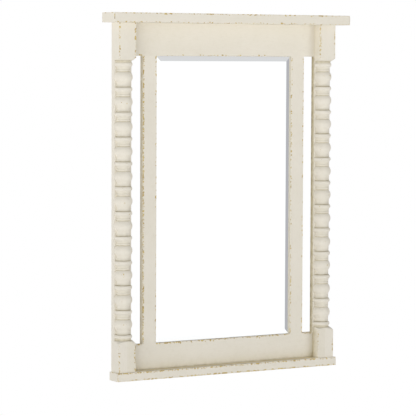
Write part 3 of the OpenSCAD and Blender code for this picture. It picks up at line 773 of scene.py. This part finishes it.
def rubber():
    n = Nodes("black_rubber")
    grain = n.noise(1200.0, 4.0)
    colour = n.mix(grain, srgb(34, 34, 36), srgb(58, 58, 60))
    return n.set(Base_Color=colour, Roughness=0.7, Normal=n.bump(grain, 0.05 * MM, 0.6))


PAINT = {"X": paint("X"), "Z": paint("Z")}
RAW = {"X": raw_wood("X"), "Z": raw_wood("Z")}
ZINC = zinc()
BEECH = beech()
CAD_MATERIALS = {
    "mirror_glass": silvered_glass(),
    "backing_panel": hardboard(),
    "glass_setting_blocks": rubber(),
    "glass_foam_strips": foam(),
    "left_hanger_strap": ZINC,
    "right_hanger_strap": ZINC,
    "left_hanger_ring": ZINC,
    "right_hanger_ring": ZINC,
    "top_rail_dowels": BEECH,
    "bottom_rail_dowels": BEECH,
    "left_inner_stile_dowels": BEECH,
    "right_inner_stile_dowels": BEECH,
    "cap_dowels": BEECH,
}


def dress(node, material):
    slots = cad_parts[node].data.materials
    slots.clear()
    slots.append(material)


for name, material in CAD_MATERIALS.items():
    dress(name, material)


# Painted boards

def painted(name, node, mesh, along):
    mesh.materials.append(PAINT[along])
    obj = add_object(name, mesh)
    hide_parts(node)
    return obj


def between(value, low, high):
    """1 between two places and 0 outside, with a soft step at both."""
    return smooth(low - MM, low + MM, value) - smooth(high - MM, high + MM, value)


def open_stretch(x):
    """Where the edge of a rail is open: over the two slots and over the glass."""
    side = np.abs(x)
    return np.maximum(between(side, -1, OPENING_X), between(side, *SLOT_X))


def near(distance, reach):
    """1 at no distance, less and less further away."""
    return np.exp(-np.maximum(distance, 0) / reach)


def shelf(node, seed, joint):
    """The cap or the base: eased and worn on every edge, with a yellow tint that colours the painted shade in
    front of the frame and, on the cap, darker front corners. joint is the height at which it meets the frame."""
    low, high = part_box(node)
    mesh, wear = board_mesh(node + "_wood", low, high, "X", lambda k, place: np.ones_like(place), True)
    upper = vectors(mesh)[:, 2] > (low.z + high.z) / 2
    wear_down(mesh, wear, seed, (1.1, 1, 1), np.where(upper, *CHIPS[node]))
    co = vectors(mesh)
    cap = joint < high.z
    on_face = np.abs(co[:, 2] - joint) < 0.2 * MM
    front = np.maximum(OUTER_LOW.y - co[:, 1], 0)
    # yellow tint for the painted shade on the face that meets the frame, in front of it
    tint = (0.2 if cap else 0.95) * near(front - 6 * MM, 14 * MM) * on_face * (np.abs(co[:, 0]) < SLOT_X[1])
    to_corner = np.hypot(np.minimum(co[:, 0] - low.x, high.x - co[:, 0]), co[:, 1] - low.y)
    nick = 1.6 * cap * near(to_corner - 0.9 * MM, 0.6 * MM) * between(co[:, 2], low.z + 9 * MM, high.z - 4 * MM)
    set_values(mesh, "tint", tint)
    set_values(mesh, "glaze_and_shade", nick)
    return painted(node + "_wood", node, mesh, "X")


def rail(node, bottom, seed):
    """The top or the bottom rail, worn along its edge toward the glass and the slots. Painted shade darkens its
    front: more toward the left and beside the posts on the top rail, and toward the base and the posts on the
    bottom rail, with some dirt there. Its faces in the slots get painted shade too."""
    low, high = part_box(node)
    open_edge, level, joint = (3, high.z, low.z) if bottom else (0, low.z, high.z)

    def exposure(k, place):
        return open_stretch(place) if k == open_edge else np.zeros_like(place)

    mesh, wear = board_mesh(node + "_wood", low, high, "X", exposure)
    wear_down(mesh, wear, seed, (1.1, 1, 1), CHIPS[node])
    co = vectors(mesh)
    side = np.abs(co[:, 0])
    # painted shade on the rail's faces seen through the slots
    slot_face_shade = (np.abs(co[:, 2] - level) < FACE) * between(side, *SLOT_X) * 1.3
    to_post, to_joint = high.x - side, np.abs(co[:, 2] - joint)
    rightward = smooth(low.x, high.x, co[:, 0])
    # a yellow tint that colours the painted shade beside the posts
    tint = 0.04 * (1 - rightward) * near(to_post - 12 * MM, 30 * MM) + 0.16 * near(to_post, 2.5 * MM)
    # painted shade on the top rail: darker toward the left and beside the posts
    dirt_and_shade = 0.22 - 0.17 * rightward + 0.06 * near(to_post, 12 * MM)
    if bottom:
        # painted shade with some dirt on the bottom rail, above the base and beside the posts
        dirt_and_shade = 0.64 * near(to_joint, 24 * MM) + 0.35 * near(to_post, 10 * MM)
    front = co[:, 1] < low.y + 0.4 * MM
    set_values(mesh, "tint", np.minimum(tint, 1) * front)
    set_values(mesh, "glaze_and_shade", np.maximum(dirt_and_shade * front, slot_face_shade))
    return painted(node + "_wood", node, mesh, "X")


def stile(node, inner, seed):
    """An upright board, worn along its front edges where no post or rail covers them, with painted shade on the
    sides that face a slot or the glass."""
    low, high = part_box(node)

    def exposure(k, place):
        if k > 1:
            return np.zeros_like(place)
        return np.ones_like(place) if inner else between(place, *COLUMN_Z)

    mesh, wear = board_mesh(node + "_wood", low, high, "Z", exposure)
    by_slot = np.abs(np.abs(vectors(mesh)[:, 0]) - SLOT_X[0]) < 6 * MM
    wear_down(mesh, wear, seed, (0.9, 0.9, 0.8), np.where(by_slot, *CHIPS[node]))
    co = vectors(mesh)
    slot_side = high.x if inner == (low.x > 0) else low.x
    facing_slot = np.abs(co[:, 0] - slot_side) < FACE
    facing_glass = inner * (np.abs(np.abs(co[:, 0]) - OPENING_X) < FACE)
    # painted shade on the faces toward the slot, darker toward the back, and lighter on the faces toward the
    # glass
    slot_shade = (0.44 if inner else 0.72) + 0.5 * smooth(low.y, high.y, co[:, 1])
    glaze_and_shade = np.maximum(facing_slot * slot_shade, 0.5 * facing_glass) * (co[:, 1] > low.y + 0.8 * MM)
    set_values(mesh, "glaze_and_shade", glaze_and_shade * between(co[:, 2], *OPENING_Z))
    return painted(node + "_wood", node, mesh, "Z")


def grown(low, high, gap, low_y):
    """A cutter for a recess from low_y out through the back, with a gap all round a piece."""
    return box_cutter((low.x - gap, low_y, low.z - gap), (high.x + gap, PAST_BACK, high.z + gap))


def pocket_cutter(middle):
    """The hanger pocket in the back of an outer stile: a slot with rounded corners about the ring's pin."""
    half = POCKET_WIDTH / 2 - POCKET_RADIUS
    corners = ((half, POCKET_TOP), (-half, POCKET_TOP), (-half, POCKET_BOTTOM), (half, POCKET_BOTTOM))
    points = []
    for k, (x, z) in enumerate(corners):
        z += POCKET_RADIUS * (-1 if z > 0 else 1)
        for i in range(9):
            turn = math.pi / 2 * (k + i / 8)
            points.append((middle + x + POCKET_RADIUS * math.cos(turn), z + POCKET_RADIUS * math.sin(turn)))
    return outline_cutter(points, -POCKET_DEPTH, PAST_BACK)


shelf("cap_board", 11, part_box("cap_board")[0].z)
base = shelf("base_board", 12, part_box("base_board")[1].z)
cut(base, sink_cutters("base_screws"), RAW["X"])
for obj in (rail("top_rail", False, 21), rail("bottom_rail", True, 22),
            stile("left_inner_stile", True, 31), stile("right_inner_stile", True, 32)):
    raw = RAW["X" if "rail" in obj.name else "Z"]
    cut(obj, [grown(GLASS_LOW, GLASS_HIGH, GLASS_ROOM, LIP_Y)], raw)
    cut(obj, [grown(PANEL_LOW, PANEL_HIGH, PANEL_ROOM, PANEL_LOW.y)], raw)
for side, seed in (("left", 33), ("right", 34)):
    outer = stile(side + "_outer_stile", False, seed)
    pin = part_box(side + "_hanger_ring")
    cut(outer, [pocket_cutter((pin[0].x + pin[1].x) / 2)] + sink_cutters(side + "_post_screws"), RAW["Z"])
    node = side + "_turned_post"
    painted(node + "_wood", node, post_mesh(node + "_wood", node, seed + 8), "Z")


# Screws in their places

for node in ("backing_screws", "left_post_screws", "right_post_screws", "base_screws"):
    screws(node + "_cross", node)
for node in ("left_hanger_screws", "right_hanger_screws"):
    screws(node + "_cross", node, pan=True)


# Stage, lights and camera

HANG = -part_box("base_board")[0].z         # height of the hanger pins above the underside of the base
FLOOR_DROP = 0.75                         # how far the underside of the base hangs above the floor
FLOOR_RADIUS = 3.6
CAMERA_PLACE = (-3.4895, -5.7288, 0.9342 - HANG)
CAMERA_TURN = (30.993, -3.782, 0.231)     # yaw to the right, pitch and roll, in degrees
FOCAL_PIXELS = 2252.8
IMAGE_PIXELS = 416


def add_to_scene(obj):
    bpy.context.scene.collection.objects.link(obj)
    return obj


def set_camera():
    data = bpy.data.cameras.new("camera")
    data.sensor_width = 36
    data.lens = data.sensor_width * FOCAL_PIXELS / IMAGE_PIXELS
    data.clip_end = 200
    camera = add_to_scene(bpy.data.objects.new("camera", data))
    yaw, pitch, roll = (math.radians(a) for a in CAMERA_TURN)
    heading = Matrix.Rotation(-yaw, 4, "Z") @ Matrix.Rotation(math.pi / 2 + pitch, 4, "X")
    camera.matrix_world = Matrix.Translation(CAMERA_PLACE) @ heading @ Matrix.Rotation(roll, 4, "Z")
    bpy.context.scene.camera = camera


def add_light(data, place, target):
    light = add_to_scene(bpy.data.objects.new(data.name, data))
    light.location = place
    light.rotation_euler = (Vector(target) - Vector(place)).to_track_quat("-Z", "Y").to_euler()
    light.visible_glossy = False


def area_light(name, place, target, size, power):
    data = bpy.data.lights.new(name, "AREA")
    data.shape = "RECTANGLE"
    data.size, data.size_y = size
    data.energy = power
    add_light(data, place, target)


def spot_light(name, place, target, cone, power):
    """A round lamp that lights a cone of the given angle in degrees."""
    data = bpy.data.lights.new(name, "SPOT")
    data.spot_size = math.radians(cone)
    data.spot_blend = 0.6
    data.shadow_soft_size = 0.25
    data.energy = power
    add_light(data, place, target)


def set_world():
    """White to the camera. Reflections see a bright studio with a duller ceiling and a grey wall far to the
    right. All other light is a glow that is brighter from below."""
    world = bpy.data.worlds.new("studio")
    bpy.context.scene.world = world
    world.use_nodes = True
    tree = world.node_tree
    background = tree.nodes["Background"]

    def add(kind, inputs=(), output=0, **settings):
        return add_node(tree, kind, inputs, output, **settings)

    def ramp(value, low, high, **settings):
        return add("ShaderNodeMapRange", {"Value": value, "From Min": low, "From Max": high}, **settings)

    def mix(factor, a, b):
        return add("ShaderNodeMix", {0: factor, 6: a, 7: b}, 2, data_type="RGBA")

    way = add("ShaderNodeTexCoord", output="Generated")
    x = add("ShaderNodeSeparateXYZ", {0: way}, "X")
    z = add("ShaderNodeSeparateXYZ", {0: way}, "Z")
    right = ramp(x, 0.57, 0.63, interpolation_type="SMOOTHSTEP")
    above = ramp(z, 0.02, 0.08, interpolation_type="SMOOTHSTEP")
    seen = mix(above, (1.03, 1.03, 1.03, 1), srgb(216, 216, 217))
    seen = mix(right, seen, srgb(180, 180, 184))
    heights = {"From Min": -0.5, "From Max": 0.55, "To Min": 1.5, "To Max": 0.29}
    lift = add("ShaderNodeMapRange", {"Value": z, **heights})
    glow = add("ShaderNodeCombineColor", {0: lift, 1: lift, 2: lift})
    path = tree.nodes.new("ShaderNodeLightPath").outputs
    rays = {0: path["Is Camera Ray"], 1: path["Is Transmission Ray"]}
    clear = add("ShaderNodeMath", rays, operation="MAXIMUM")
    colour = mix(clear, mix(path["Is Glossy Ray"], glow, seen), (1, 1, 1, 1))
    tree.links.new(colour, background.inputs["Color"])
    background.inputs["Strength"].default_value = 1.0


def set_floor():
    """A pale floor that keeps the object's shadow and runs out to white for the camera and for the mirror."""
    bm = bmesh.new()
    bmesh.ops.create_circle(bm, cap_ends=True, segments=96, radius=FLOOR_RADIUS)
    mesh = bpy.data.meshes.new("floor")
    bm.to_mesh(mesh)
    bm.free()
    floor = add_to_scene(bpy.data.objects.new("floor", mesh))
    floor.location = (0, -0.8, -HANG - FLOOR_DROP)
    n = Nodes("pale_floor")
    path = n.tree.nodes.new("ShaderNodeLightPath").outputs
    seen = n.math("MAXIMUM", path["Is Camera Ray"], path["Is Glossy Ray"])
    seen = n.math("MAXIMUM", seen, path["Is Transmission Ray"])
    colour = n.mix(n.noise(2.0), (0.86, 0.86, 0.86, 1), (0.88, 0.88, 0.88, 1))
    n.set(Base_Color=colour, Roughness=0.9, Specular_IOR_Level=0.0, Emission_Color=(1, 1, 1, 1),
          Emission_Strength=n.math("MULTIPLY", seen, 0.55))
    mesh.materials.append(n.material)


set_camera()
set_world()
set_floor()
area_light("key", place=(-5.7, -3.4, -1.0), target=(0, 0, -0.35), size=(5.6, 1.4), power=167)
area_light("fill", place=(3.4, -4.6, -1.2), target=(0, 0, -0.35), size=(3.0, 1.0), power=70)
area_light("back", place=(0, 5.0, -0.3), target=(0, 0, -0.45), size=(1.2, 1.2), power=75)
spot_light("top", place=(0, 1.6, 4.2), target=(0, 0.02, 0), cone=16, power=480)
bpy.context.scene.view_settings.view_transform = "Standard"
